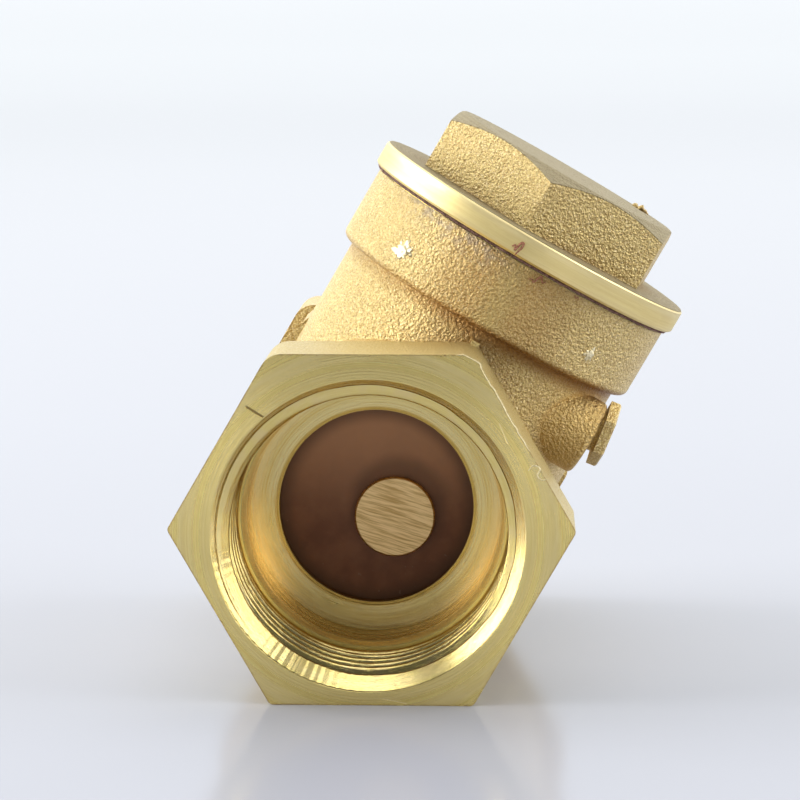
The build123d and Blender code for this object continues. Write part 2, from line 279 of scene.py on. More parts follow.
def lump(name, centre, normal, width, height, seed, ragged):
    """Low irregular mound on a surface, such as a casting blemish."""
    work = bmesh.new()
    bmesh.ops.create_icosphere(work, subdivisions=4, radius=1.0)
    for vertex in work.verts:
        direction = vertex.co.normalized()
        swell = noise.fractal(direction * 2.6 + Vector((seed, 0, 0)), 1.0, 2.0, 4)
        reach = 1 + ragged * swell * 2
        vertex.co = Vector((direction.x * width / 2 * reach, direction.y * width / 2 * reach,
                            direction.z * height * (1 + 0.5 * swell)))
    turn = normal.to_track_quat("Z", "Y").to_matrix().to_4x4()
    bmesh.ops.transform(work, matrix=Matrix.Translation(centre) @ turn @ Matrix.Scale(MM, 4),
                        verts=work.verts)
    mesh = bpy.data.meshes.new(name)
    work.to_mesh(mesh)
    work.free()
    for polygon in mesh.polygons:
        polygon.use_smooth = True
    thing = bpy.data.objects.new(name, mesh)
    bpy.context.scene.collection.objects.link(thing)
    return thing


def face_burr():
    """Wavy sliver of metal left along the upper right edge of the inlet face."""
    chance = random.Random(3)
    along_top = Vector((-1, 0, 0))
    along_side = Vector((0.5, 0, -0.866))
    route = []
    for share in (1.9, 1.4, 1.0):
        route.append(BURR_CORNER + along_top * share)
    for share in (1.0, 1.5):
        route.append(BURR_CORNER + along_side * share)
    reach = 2.2
    while reach < BURR_LENGTH:
        route.append(BURR_CORNER + along_side * reach)
        reach += chance.uniform(0.35, 0.75)
    points = []
    radii = []
    for place in route:
        inward = Vector((-0.866, 0, -0.5)) * chance.uniform(0.0, 0.12)
        lift = Vector((0, -chance.uniform(0.0, 0.07), 0))
        points.append((place + inward + lift) * MM)
    line = smooth_line(points, 4)
    for i in range(len(line)):
        taper = min(1.0, i / 6, (len(line) - 1 - i) / 6)
        radii.append(0.02 + 0.05 * taper * chance.uniform(0.6, 1.2))
    return tube("face_burr", line, radii, sides=6)


def strand(name, route, thickness):
    """Thin thread of swarf or fibre through the given points, tapered to its ends."""
    line = smooth_line(route, 8)
    radii = [thickness * (0.45 + 0.55 * math.sin(math.pi * i / (len(line) - 1)))
             for i in range(len(line))]
    return tube(name, line, radii, sides=6)


def gasket_edge():
    """Ragged edge of the gasket, squeezed out into the joint under the flange."""
    chance = random.Random(8)
    count = 360
    points = []
    radii = []
    for i in range(count + 1):
        angle = 180 + 360 * i / count
        points.append(round_bonnet(GASKET_EDGE_R + chance.uniform(-0.12, 0.16), angle,
                                   JOINT_HEIGHT + chance.uniform(-0.05, 0.05)))
        radii.append(chance.uniform(0.10, 0.19))
    return tube("gasket_edge", points, radii, sides=6)


# ---- node trees ----
class Paint:
    """One material's node tree, with a short call for each kind of node."""

    def __init__(self, name, metallic=0.0, specular=0.5):
        self.material = bpy.data.materials.new(name)
        self.material.use_nodes = True
        self.tree = self.material.node_tree
        self.shader = self.tree.nodes["Principled BSDF"]
        self.shader.inputs["Metallic"].default_value = metallic
        self.shader.inputs["Specular IOR Level"].default_value = specular
        self.place = self.tree.nodes.new("ShaderNodeTexCoord").outputs["Object"]

    def put(self, socket, value):
        """Links an output, or sets a plain value."""
        if isinstance(value, bpy.types.NodeSocket):
            self.tree.links.new(value, socket)
        else:
            socket.default_value = value

    def math(self, operation, a, b=0.0):
        """Result of one Math node."""
        node = self.tree.nodes.new("ShaderNodeMath")
        node.operation = operation
        self.put(node.inputs[0], a)
        self.put(node.inputs[1], b)
        return node.outputs[0]

    def along(self, direction, offset=0.0):
        """Distance of the point along a direction, in millimetres, less an offset."""
        node = self.tree.nodes.new("ShaderNodeVectorMath")
        node.operation = "DOT_PRODUCT"
        self.put(node.inputs[0], self.place)
        node.inputs[1].default_value = Vector(direction) / MM
        return self.math("SUBTRACT", node.outputs["Value"], offset)

    def length(self, *parts):
        """Length of the vector with these parts."""
        total = self.math("MULTIPLY", parts[0], parts[0])
        for part in parts[1:]:
            total = self.math("ADD", total, self.math("MULTIPLY", part, part))
        return self.math("SQRT", total)

    def ease(self, value, low, high):
        """0 up to low and 1 from high on, smooth between; low may be the larger."""
        node = self.tree.nodes.new("ShaderNodeMapRange")
        node.interpolation_type = "SMOOTHSTEP"
        flip = low > high
        self.put(node.inputs["Value"], value)
        node.inputs["From Min"].default_value = min(low, high)
        node.inputs["From Max"].default_value = max(low, high)
        node.inputs["To Min"].default_value = 1.0 if flip else 0.0
        node.inputs["To Max"].default_value = 0.0 if flip else 1.0
        return node.outputs["Result"]

    def either(self, *masks):
        """Mask of the places that any of these covers."""
        total = masks[0]
        for mask in masks[1:]:
            total = self.math("MAXIMUM", total, mask)
        return total

    def both(self, *masks):
        """Mask of the places that all of these cover."""
        total = masks[0]
        for mask in masks[1:]:
            total = self.math("MULTIPLY", total, mask)
        return total

    def vector(self, x, y, z):
        """Vector with these three parts."""
        node = self.tree.nodes.new("ShaderNodeCombineXYZ")
        for socket, value in zip(node.inputs, (x, y, z)):
            self.put(socket, value)
        return node.outputs[0]

    def noise(self, size, detail, rough, seed, vector=None):
        """Noise with features of about this size in millimetres."""
        node = self.tree.nodes.new("ShaderNodeTexNoise")
        node.noise_dimensions = "4D"
        node.inputs["W"].default_value = seed
        node.inputs["Detail"].default_value = detail
        node.inputs["Roughness"].default_value = rough
        if vector is None:
            self.put(node.inputs["Vector"], self.place)
            node.inputs["Scale"].default_value = 1 / (size * MM)
        else:
            self.put(node.inputs["Vector"], vector)
            node.inputs["Scale"].default_value = 1 / size
        return node.outputs["Fac"]

    def cells(self, size, seed):
        """Rounded cells of about this size, 0 at their middles."""
        node = self.tree.nodes.new("ShaderNodeTexVoronoi")
        node.voronoi_dimensions = "4D"
        node.feature = "SMOOTH_F1"
        node.inputs["W"].default_value = seed
        node.inputs["Smoothness"].default_value = 0.35
        node.inputs["Scale"].default_value = 1 / (size * MM)
        self.put(node.inputs["Vector"], self.place)
        return node.outputs["Distance"]

    def blend(self, share, a, b):
        """Colour a where share is 0 and b where it is 1."""
        node = self.tree.nodes.new("ShaderNodeMix")
        node.data_type = "RGBA"
        self.put(node.inputs["Factor"], share)
        for socket, value in ((node.inputs[6], a), (node.inputs[7], b)):
            self.put(socket, value if isinstance(value, bpy.types.NodeSocket) else (*value, 1))
        return node.outputs[2]

    def number(self, share, a, b):
        """Number a where share is 0 and b where it is 1."""
        node = self.tree.nodes.new("ShaderNodeMix")
        self.put(node.inputs["Factor"], share)
        self.put(node.inputs[2], a)
        self.put(node.inputs[3], b)
        return node.outputs[0]

    def stroke(self, start, end, width):
        """Mask of a straight scratch between two points in millimetres."""
        start = Vector(start)
        span = Vector(end) - start
        along = span.normalized()
        reach = self.along(along, start.dot(along))
        reach = self.math("MINIMUM", self.math("MAXIMUM", reach, 0.0), span.length)
        parts = []
        for k in range(3):
            axis = Vector([1.0 if i == k else 0.0 for i in range(3)])
            off = self.math("SUBTRACT", self.along(axis, start[k]),
                            self.math("MULTIPLY", reach, along[k]))
            parts.append(off)
        return self.ease(self.length(*parts), width, width * 0.4)

    def finish(self, colour, roughness, height=None, depth_mm=1.0):
        """Wires the shader: base colour, roughness and any bump, depth_mm tall at height 1."""
        self.put(self.shader.inputs["Base Color"], colour)
        self.put(self.shader.inputs["Roughness"], roughness)
        if height is not None:
            bump = self.tree.nodes.new("ShaderNodeBump")
            bump.inputs["Strength"].default_value = 1.0
            bump.inputs["Distance"].default_value = depth_mm * MM
            self.put(bump.inputs["Height"], height)
            self.put(self.shader.inputs["Normal"], bump.outputs["Normal"])
        return self.material


# ---- colours, as linear red, green and blue ----
GOLD = (0.81, 0.64, 0.28)
GOLD_DEEP = (0.53, 0.36, 0.14)
GOLD_PALE = (0.95, 0.80, 0.48)
OLIVE = (0.87, 0.71, 0.27)
OLIVE_DEEP = (0.77, 0.60, 0.20)
# tarnish in pits, specks and worn rims, and painted shade in the creases and behind the hexagon
TARNISH_AND_SHADE = (0.34, 0.17, 0.05)
STAIN = (0.42, 0.34, 0.25)
CAST_WARM = (0.78, 0.56, 0.24)
# painted shade on the pin boss
BOSS_SHADE = (0.70, 0.43, 0.13)
HEX_OLIVE = (0.50, 0.41, 0.17)
BORE_ORANGE = (0.90, 0.55, 0.13)
PORT_BROWN = (0.58, 0.36, 0.07)
GOUGE_BROWN = (0.22, 0.13, 0.04)
WORN_DARK = (0.26, 0.21, 0.12)
WORN_PALE = (0.42, 0.35, 0.20)
PLUG_BROWN = (0.52, 0.36, 0.17)
SAWN_DEEP = (0.60, 0.38, 0.14)
SAWN_PALE = (0.92, 0.66, 0.31)
RUBBER = (0.22, 0.085, 0.032)
RUBBER_PALE = (0.29, 0.12, 0.05)
# painted light on the seal's upper part
RUBBER_LIT = (0.80, 0.44, 0.23)
# painted shade on the seal round the port's rim and the stud
SEAL_SHADE = (0.09, 0.040, 0.010)
DUST = (0.42, 0.28, 0.18)
GASKET_DARK = (0.09, 0.04, 0.035)
GASKET_PALE = (0.36, 0.21, 0.17)
FIBRE_DARK = (0.24, 0.07, 0.03)
FIBRE_PALE = (0.62, 0.30, 0.17)
FRESH = (0.88, 0.74, 0.42)
FRESH_PALE = (0.98, 0.90, 0.66)
# the floor's painted shade near the valve and painted light far off
FLOOR_NEAR_SHADED = (0.45, 0.455, 0.50)
FLOOR_FAR_LIT = (0.76, 0.77, 0.78)


def bonnet_places(paint):
    """Distances to the plug's side of the bonnet axis, up along it, and out from it."""
    side = paint.along((math.cos(LEAN), 0, -math.sin(LEAN)))
    along_flow = paint.along((0, 1, 0), BONNET_Y)
    height_up = paint.along((math.sin(LEAN), 0, math.cos(LEAN)))
    return SimpleNamespace(side=side, height_up=height_up, from_bonnet=paint.length(side, along_flow))


def body_places(paint):
    """The distances that the body's masks are drawn in."""
    places = bonnet_places(paint)
    places.x = paint.along((1, 0, 0))
    places.y = paint.along((0, 1, 0))
    places.z = paint.along((0, 0, 1))
    places.from_flow = paint.length(places.x, places.z)
    return places


def blasted(paint, seed):
    """Colour, roughness and height in millimetres of a shot-blasted casting, with painted glints in the
    colour.
    """
    grain = paint.cells(0.34, seed)
    fine = paint.noise(0.17, 3.0, 0.6, seed=seed + 1)
    broad = paint.noise(3.2, 2.0, 0.5, seed=seed + 2)
    patches = paint.noise(9.0, 2.0, 0.5, seed=seed + 3)
    height = paint.math("ADD", paint.math("MULTIPLY", grain, 0.22),
                        paint.math("MULTIPLY", fine, 0.24))
    height = paint.math("ADD", height, paint.math("MULTIPLY", broad, 0.10))
    dips = paint.ease(fine, 0.58, 0.40)
    colour = paint.blend(dips, GOLD, GOLD_DEEP)
    # painted glints: pale specks in the grain's colour
    painted_glints = paint.ease(paint.noise(0.15, 1.0, 0.5, seed=seed + 4), 0.58, 0.66)
    colour = paint.blend(paint.math("MULTIPLY", painted_glints, 0.8), colour, GOLD_PALE)
    pits = paint.ease(paint.noise(0.20, 1.0, 0.5, seed=seed + 5), 0.40, 0.32)
    colour = paint.blend(paint.math("MULTIPLY", pits, 0.45), colour, TARNISH_AND_SHADE)
    warm = paint.ease(patches, 0.45, 0.75)
    colour = paint.blend(paint.math("MULTIPLY", warm, 0.35), colour, CAST_WARM)
    roughness = paint.number(paint.ease(fine, 0.3, 0.7), 0.46, 0.31)
    return colour, roughness, height


def turned(paint, radius, depth, seed, scale=0.20):
    """Colour, roughness and height in millimetres of a lathe-turned surface."""
    drift = paint.noise(7.0, 1.0, 0.5, seed=seed)
    track = paint.vector(paint.math("ADD", radius, paint.math("MULTIPLY", drift, 0.12)),
                         depth, paint.math("MULTIPLY", drift, 0.9))
    lines = paint.noise(scale, 3.0, 0.65, vector=track, seed=seed + 1)
    bands = paint.noise(1.3, 1.0, 0.5, vector=track, seed=seed + 2)
    height = paint.math("ADD", paint.math("MULTIPLY", lines, 0.026),
                        paint.math("MULTIPLY", bands, 0.008))
    colour = paint.blend(paint.ease(lines, 0.35, 0.65), OLIVE_DEEP, OLIVE)
    colour = paint.blend(paint.math("MULTIPLY", paint.ease(bands, 0.4, 0.7), 0.3), colour, GOLD_PALE)
    roughness = paint.number(paint.ease(bands, 0.3, 0.7), 0.30, 0.20)
    return colour, roughness, height


def body_faces(paint, at):
    """Masks of the inlet face, of both faces, and of everything machined on the body."""
    inlet = paint.ease(at.y, 0.06, 0.02)
    both_ends = paint.either(inlet, paint.ease(at.y, LENGTH - 0.06, LENGTH - 0.02))
    in_bore = paint.ease(at.from_flow, 17.8, 17.6)
    near_ends = paint.either(paint.ease(at.y, SEAT_Y + 0.3, SEAT_Y + 0.1), paint.ease(at.y, 52.2, 52.4))
    collar_top = paint.ease(at.height_up, COLLAR_TOP - 0.08, COLLAR_TOP - 0.03)
    in_collar = paint.both(paint.ease(at.from_bonnet, 16.8, 16.6), paint.ease(at.height_up, 25.3, 25.6))
    machined = paint.either(both_ends, paint.both(in_bore, near_ends), collar_top, in_collar)
    return inlet, both_ends, machined


def shade_and_stain_casting(paint, at, colour):
    """Painted shade in the crease under the collar, on the pin boss and behind the hexagon; darkens the
    hexagon's sides and stains the collar.
    """
    # painted shade in the crease under the collar, stronger towards the plug's side
    crease = paint.both(paint.ease(at.height_up, COLLAR_BOTTOM - 2.2, COLLAR_BOTTOM - 0.1),
                        paint.ease(at.height_up, COLLAR_BOTTOM + 1.0, COLLAR_BOTTOM + 0.1),
                        paint.ease(at.from_bonnet, COLLAR_R + 0.3, COLLAR_R - 0.1))
    right_side = paint.ease(at.side, -14.0, 6.0)
    crease_share = paint.math("ADD", paint.math("MULTIPLY", right_side, 0.55), 0.40)
    colour = paint.blend(paint.both(crease, crease_share), colour, TARNISH_AND_SHADE)

    # painted shade in orange-brown on the pin boss, on its side towards the plug
    from_pin = paint.length(paint.math("SUBTRACT", at.y, HINGE_Y),
                            paint.math("SUBTRACT", at.height_up, HINGE_HEIGHT))
    boss = paint.both(paint.ease(from_pin, 5.2, 4.4), paint.ease(at.side, 8.0, 10.0))
    colour = paint.blend(paint.math("MULTIPLY", boss, 0.45), colour, BOSS_SHADE)

    # painted shade in the valley between the hexagon's back and the neck
    hex_valley_shade = paint.both(paint.ease(at.y, 16.5, 13.1), paint.ease(at.y, 12.8, 13.0))
    colour = paint.blend(paint.math("MULTIPLY", hex_valley_shade, 0.45), colour, TARNISH_AND_SHADE)
    hex_sides = paint.both(paint.ease(at.y, 13.2, 12.9), paint.ease(at.from_flow, 17.8, 18.0))
    colour = paint.blend(paint.math("MULTIPLY", hex_sides, 0.6), colour, HEX_OLIVE)

    # grey stain of the gasket below the joint, on the side away from the plug
    patches = paint.ease(paint.noise(1.1, 3.0, 0.65, seed=31.0), 0.40, 0.62)
    stain = paint.both(paint.ease(at.height_up, COLLAR_TOP - 3.4, COLLAR_TOP - 0.3), patches,
                       paint.ease(at.side, -16.5, -12.0), paint.ease(at.side, 2.0, -5.0))
    return paint.blend(paint.math("MULTIPLY", stain, 0.7), colour, STAIN)


def colour_bore(paint, at, shiny):
    """Deep orange on the wall between the thread and the shoulder, and round the port."""
    inner_bore = paint.both(paint.ease(at.y, THREAD_DEPTH - 0.6, THREAD_DEPTH + 0.4),
                            paint.ease(at.y, SHOULDER_Y - 0.02, SHOULDER_Y - 0.2),
                            paint.ease(at.from_flow, 14.9, 14.7))
    shiny = paint.blend(inner_bore, shiny, BORE_ORANGE)
    port_rim = paint.both(paint.ease(at.from_flow, 11.75, 11.40), paint.ease(at.y, 18.0, 19.0))
    return paint.blend(paint.math("MULTIPLY", port_rim, 0.8), shiny, PORT_BROWN)


def hexagon_reach(paint, at):
    """Distance from the casting's axis, measured square to the nearest hexagon flat."""
    off_x = paint.math("SUBTRACT", at.x, CAST_RISE * math.sin(LEAN))
    off_z = paint.math("SUBTRACT", at.z, CAST_RISE * math.cos(LEAN))
    reach = 0.0
    for degrees in (0, 60, 120):
        angle = math.radians(degrees)
        across = paint.math("ADD", paint.math("MULTIPLY", off_x, math.sin(angle)),
                            paint.math("MULTIPLY", off_z, math.cos(angle)))
        reach = paint.math("MAXIMUM", paint.math("ABSOLUTE", across), reach)
    return reach


def mark_turned_metal(paint, at, inlet, shiny, ridges):
    """Specks everywhere, and a worn rim, a gouge and scratches on the inlet face."""
    specks = paint.ease(paint.noise(0.5, 2.0, 0.6, seed=41.0), 0.705, 0.76)
    shiny = paint.blend(paint.math("MULTIPLY", specks, 0.75), shiny, TARNISH_AND_SHADE)

    rim_noise = paint.noise(0.7, 3.0, 0.7, seed=43.0)
    ragged_reach = paint.math("ADD", hexagon_reach(paint, at), paint.math("MULTIPLY", rim_noise, 0.5))
    rim = paint.both(inlet, paint.ease(ragged_reach, HEX_HALF + 0.02, HEX_HALF + 0.22))
    shiny = paint.blend(paint.both(rim, paint.ease(rim_noise, 0.62, 0.45)), shiny, GOLD_DEEP)
    shiny = paint.blend(paint.both(rim, paint.ease(rim_noise, 0.60, 0.68)), shiny, TARNISH_AND_SHADE)

    gouge = paint.stroke((-13.1, 0, 14.1), (-11.3, 0, 13.0), 0.17)
    shiny = paint.blend(paint.math("MULTIPLY", gouge, 0.85), shiny, GOUGE_BROWN)
    scratches = paint.either(paint.stroke((-15.2, 0, -3.0), (-16.4, 0, -1.2), 0.07),
                             paint.stroke((1.6, 0, -17.9), (4.2, 0, -18.4), 0.06),
                             paint.stroke((14.2, 0, 12.4), (15.1, 0, 10.2), 0.07))
    shiny = paint.blend(paint.math("MULTIPLY", scratches, 0.6), shiny, GOLD_PALE)
    for mark, depth in ((gouge, 0.09), (scratches, 0.02), (specks, 0.03)):
        ridges = paint.math("SUBTRACT", ridges, paint.math("MULTIPLY", mark, depth))
    return shiny, ridges


def brush_direction(paint, at, both_ends, machined):
    """Spreads light away from the flow axis on the faces, and along it in the bores."""
    spread = paint.vector(paint.math("MULTIPLY", at.x, both_ends),
                          paint.math("SUBTRACT", 1.0, both_ends),
                          paint.math("MULTIPLY", at.z, both_ends))
    paint.put(paint.shader.inputs["Tangent"], spread)
    paint.put(paint.shader.inputs["Anisotropic"], paint.math("MULTIPLY", machined, 0.75))


def cast_brass():
    """The body: blasted outside, turned on its faces, in its bores and on its seat."""
    paint = Paint("cast_brass", metallic=1.0)
    at = body_places(paint)
    inlet, both_ends, machined = body_faces(paint, at)
    colour, roughness, height = blasted(paint, 1.0)
    shiny, smooth, ridges = turned(paint, at.from_flow, at.y, 11.0)

    colour = shade_and_stain_casting(paint, at, colour)
    shiny = colour_bore(paint, at, shiny)
    shiny, ridges = mark_turned_metal(paint, at, inlet, shiny, ridges)
    brush_direction(paint, at, both_ends, machined)
    return paint.finish(paint.blend(machined, colour, shiny),
                        paint.number(machined, roughness, smooth),
                        paint.number(machined, height, ridges))


def thread_brass():
    """Cut thread: bright flanks with fine tool lines."""
    paint = Paint("thread_brass", metallic=1.0)
    radius = paint.length(paint.along((1, 0, 0)), paint.along((0, 0, 1)))
    colour, _, height = turned(paint, radius, paint.along((0, 1, 0)), 51.0, 0.10)
    colour = paint.blend(paint.ease(paint.noise(2.0, 2.0, 0.5, seed=53.0), 0.4, 0.7), colour, GOLD)
    return paint.finish(colour, 0.20, height)


def bonnet_thread_brass():
    """Cut thread between the collar and the cap."""
    paint = Paint("bonnet_thread_brass", metallic=1.0)
    at = bonnet_places(paint)
    colour, roughness, height = turned(paint, at.from_bonnet, at.height_up, 57.0, 0.12)
    return paint.finish(colour, roughness, height)


def cap_brass():
    """The cap: blasted hexagon, turned rim, and a flange top with lathe marks."""
    paint = Paint("cap_brass", metallic=1.0)
    at = bonnet_places(paint)
    height_up = at.height_up
    radius = at.from_bonnet
    colour, roughness, height = blasted(paint, 61.0)
    shiny, smooth, ridges = turned(paint, radius, height_up, 71.0)

    below_top = paint.ease(height_up, FLANGE_TOP - 0.02, FLANGE_TOP - 0.10)
    rim_and_skirt = paint.both(below_top, paint.ease(height_up, 20.0, 21.0))
    flange_top = paint.both(paint.ease(height_up, FLANGE_TOP + 0.12, FLANGE_TOP + 0.04),
                            paint.ease(height_up, FLANGE_TOP - 0.10, FLANGE_TOP - 0.04))
    beyond = paint.math("MAXIMUM", paint.math("SUBTRACT", radius, CAP_HEX_HALF - 0.2), 0.0)
    cone = paint.math("ADD", height_up, paint.math("MULTIPLY", beyond, math.tan(math.radians(30))))
    head_top = paint.ease(cone, CAP_TOP - 0.12, CAP_TOP - 0.03)
    worn = paint.math("MULTIPLY", paint.either(flange_top, head_top), 0.9)
    lathe = paint.noise(0.5, 2.0, 0.6, vector=paint.vector(radius, 0.0, 0.0), seed=73.0)
    dull = paint.blend(paint.ease(lathe, 0.3, 0.7), WORN_DARK, WORN_PALE)
    colour = paint.blend(worn, colour, dull)
    height = paint.math("ADD", height, paint.both(worn, paint.math("MULTIPLY", lathe, 0.05)))

    foot = paint.both(paint.ease(height_up, FLANGE_TOP + 0.9, FLANGE_TOP + 0.05),
                      paint.ease(radius, CAP_HEX_HALF * 1.2, CAP_HEX_HALF * 0.9))
    colour = paint.blend(paint.math("MULTIPLY", foot, 0.35), colour, TARNISH_AND_SHADE)
    shiny = paint.blend(0.35, shiny, GOLD_PALE)
    colour = paint.blend(rim_and_skirt, colour, shiny)
    roughness = paint.number(rim_and_skirt, roughness, paint.math("ADD", smooth, 0.22))
    roughness = paint.number(worn, roughness, 0.62)
    paint.put(paint.shader.inputs["Metallic"], paint.number(worn, 1.0, 0.25))
    height = paint.number(rim_and_skirt, height, ridges)
    return paint.finish(colour, roughness, height)


def plug_brass():
    """The pin plug: a finer grain than the casting's, with brown patches."""
    paint = Paint("plug_brass", metallic=1.0)
    colour, roughness, height = blasted(paint, 81.0)
    height = paint.math("MULTIPLY", height, 0.45)
    colour = paint.blend(paint.ease(paint.noise(0.9, 2.0, 0.5, seed=83.0), 0.5, 0.75), colour,
                         PLUG_BROWN)
    return paint.finish(colour, roughness, height)


def rod_brass():
    """Drawn rod of the hinge pin, with fine lines along it."""
    paint = Paint("rod_brass", metallic=1.0)
    across = paint.along((math.sin(LEAN), 0, math.cos(LEAN)))
    track = paint.vector(across, paint.along((0, 1, 0)), 0.0)
    lines = paint.noise(0.12, 2.0, 0.6, vector=track, seed=91.0)
    colour = paint.blend(paint.ease(lines, 0.35, 0.65), GOLD_DEEP, GOLD)
    return paint.finish(colour, paint.number(lines, 0.22, 0.38), lines, 0.01)


def stamped_brass():
    """Hanger, disc holder, washer and nut: stamped and turned, a little dull."""
    paint = Paint("stamped_brass", metallic=1.0)
    radius = paint.length(paint.along((1, 0, 0), STUD_X), paint.along((0, 0, 1), STUD_Z))
    colour, roughness, height = turned(paint, radius, paint.along((0, 1, 0)), 95.0)
    wear = paint.noise(1.6, 3.0, 0.6, seed=97.0)
    colour = paint.blend(paint.math("MULTIPLY", paint.ease(wear, 0.45, 0.75), 0.6), colour, GOLD_DEEP)
    height = paint.math("ADD", height, paint.math("MULTIPLY", wear, 0.02))
    return paint.finish(colour, roughness, height)


def sawn_brass():
    """The stud: its head carries the parallel lines of the saw."""
    paint = Paint("sawn_brass", metallic=1.0)
    slope = math.radians(17)
    across = paint.along((math.sin(slope), 0, math.cos(slope)))
    along = paint.along((math.cos(slope), 0, -math.sin(slope)))
    wander = paint.math("MULTIPLY", paint.noise(2.4, 1.0, 0.5, seed=101.0), 0.25)
    track = paint.vector(paint.math("ADD", across, wander), paint.math("MULTIPLY", along, 0.05), 0.0)
    cuts = paint.noise(0.22, 3.0, 0.6, vector=track, seed=103.0)
    colour = paint.blend(paint.ease(cuts, 0.36, 0.60), SAWN_DEEP, SAWN_PALE)
    return paint.finish(colour, paint.number(cuts, 0.50, 0.34), cuts, 0.05)


def seal_rubber():
    """Brown nitrile rubber, satin, a little blotchy, with painted light on its upper part and painted shade
    round the port's rim and the stud.
    """
    paint = Paint("seal_rubber", specular=0.3)
    blotch = paint.noise(3.0, 3.0, 0.55, seed=111.0)
    fine = paint.noise(0.12, 2.0, 0.5, seed=113.0)
    colour = paint.blend(paint.ease(blotch, 0.35, 0.7), RUBBER, RUBBER_PALE)
    # painted light: the seal's colour lighter towards its top
    top = paint.ease(paint.along((0, 0, 1)), -4.0, 11.0)
    colour = paint.blend(paint.math("MULTIPLY", top, 0.7), colour, RUBBER_LIT)
    from_flow = paint.length(paint.along((1, 0, 0)), paint.along((0, 0, 1)))
    from_stud = paint.length(paint.along((1, 0, 0), STUD_X), paint.along((0, 0, 1), STUD_Z))
    # painted shade near the port's rim and round the stud
    painted_shade = paint.either(paint.math("MULTIPLY", paint.ease(from_flow, 9.0, 11.3), 0.7),
                         paint.math("MULTIPLY", paint.ease(from_stud, 6.6, 4.6), 0.5))
    colour = paint.blend(painted_shade, colour, SEAL_SHADE)
    dust = paint.ease(paint.noise(0.35, 1.0, 0.5, seed=115.0), 0.73, 0.80)
    colour = paint.blend(paint.math("MULTIPLY", dust, 0.3), colour, DUST)
    return paint.finish(colour, paint.number(blotch, 0.38, 0.50), fine, 0.008)


def gasket_fibre():
    """Pressed fibre of the cap's sealing ring, dark with oil."""
    paint = Paint("gasket_fibre", specular=0.3)
    strands = paint.noise(0.25, 4.0, 0.7, seed=121.0)
    colour = paint.blend(paint.ease(strands, 0.35, 0.7), GASKET_DARK, GASKET_PALE)
    return paint.finish(colour, 0.8, strands, 0.06)


def fibre_red():
    """Reddish-brown thread ends that stick out of the joint."""
    paint = Paint("fibre_red", specular=0.4)
    strands = paint.noise(0.15, 3.0, 0.6, seed=131.0)
    colour = paint.blend(paint.ease(strands, 0.35, 0.7), FIBRE_DARK, FIBRE_PALE)
    return paint.finish(colour, 0.55, strands, 0.02)


def bright_metal():
    """Fresh brass of burrs and of blemishes that shine."""
    paint = Paint("bright_metal", metallic=1.0)
    grain = paint.noise(0.13, 3.0, 0.6, seed=141.0)
    colour = paint.blend(paint.ease(grain, 0.35, 0.65), FRESH, FRESH_PALE)
    return paint.finish(colour, paint.number(grain, 0.38, 0.55), grain, 0.05)


def white_floor():
    """Pale glossy sheet that the valve lies on, with painted shade near the valve and painted light towards
    the horizon.
    """
    paint = Paint("white_floor", specular=0.12)
    # painted shade near the valve, fading to painted light far off
    far = paint.ease(paint.along((0, 1, 0)), -120.0, 3500.0)
    colour = paint.blend(far, FLOOR_NEAR_SHADED, FLOOR_FAR_LIT)
    return paint.finish(colour, 0.14)


def dress(thing, material):
    """Gives a piece one material in place of what it has."""
    thing.data.materials.clear()
    thing.data.materials.append(material)


def make_looks():
    """Every material of the valve, by the name of its function."""
    makers = (cast_brass, cap_brass, stamped_brass, gasket_fibre, rod_brass, plug_brass, seal_rubber,
              sawn_brass, thread_brass, bonnet_thread_brass, bright_metal, fibre_red)
    return {maker.__name__: maker() for maker in makers}


# ---- the carried CAD nodes ----
NODE_LOOKS = {
    "valve_body": "cast_brass",
    "bonnet_cap": "cap_brass",
    "cap_gasket": "gasket_fibre",
    "hinge_pin": "rod_brass",
    "pin_plug": "plug_brass",
    "hinge_arm": "stamped_brass",
    "disc_holder": "stamped_brass",
    "seal_disc": "seal_rubber",
    "seal_stud": "sawn_brass",
    "stud_washer": "stamped_brass",
    "stud_nut": "stamped_brass",
}


def dress_cad_nodes(looks):
    """Gives every carried node its material."""
    for node, look in NODE_LOOKS.items():
        dress(frame["nodes"][node], looks[look])


# ---- the pieces made here ----
def add_piece(thing, material, body):
    """Dresses a piece and tells the frame its body."""
    dress(thing, material)
    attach(thing, body)


def add_threads(looks):
    """Thread turns of both ends, the collar and the cap."""
    for name, at_outlet in (("inlet_thread", False), ("outlet_thread", True)):
        add_piece(pipe_thread(name, at_outlet), looks["thread_brass"], "body")
    add_piece(collar_thread(), looks["bonnet_thread_brass"], "body")
    add_piece(cap_thread(), looks["bonnet_thread_brass"], "cap")


def outward(angle):
    """Direction away from the bonnet axis, at an angle as in round_bonnet."""
    return (round_bonnet(1.0, angle, 0.0) - round_bonnet(0.0, angle, 0.0)).normalized()


def add_blemishes(looks):
    """Bright starry flaws on the collar, and crumbs of metal on the cap's top edge."""
    flaws = (("collar_star", -39.6, 27.3, 2.0), ("collar_spot", 39.3, 27.65, 1.4))
    for name, angle, height, width in flaws:
        centre = round_bonnet(COLLAR_R - 0.06, angle, height)
        flaw = lump(name, centre, outward(angle), width, 0.11, angle, 0.5)
        add_piece(flaw, looks["bright_metal"], "body")
    crumbs = ((9.4, 39.6, 0.8), (10.1, 39.1, 1.1), (10.6, 38.7, 0.7))
    for number, (x, y, width) in enumerate(crumbs):
        centre = upright_point(x, y, CAP_TOP - 0.05)
        crumb = lump(f"cap_crumb_{number}", centre, outward(90), width, 0.4, number + 1.5, 0.4)
        add_piece(crumb, looks["plug_brass"], "cap")


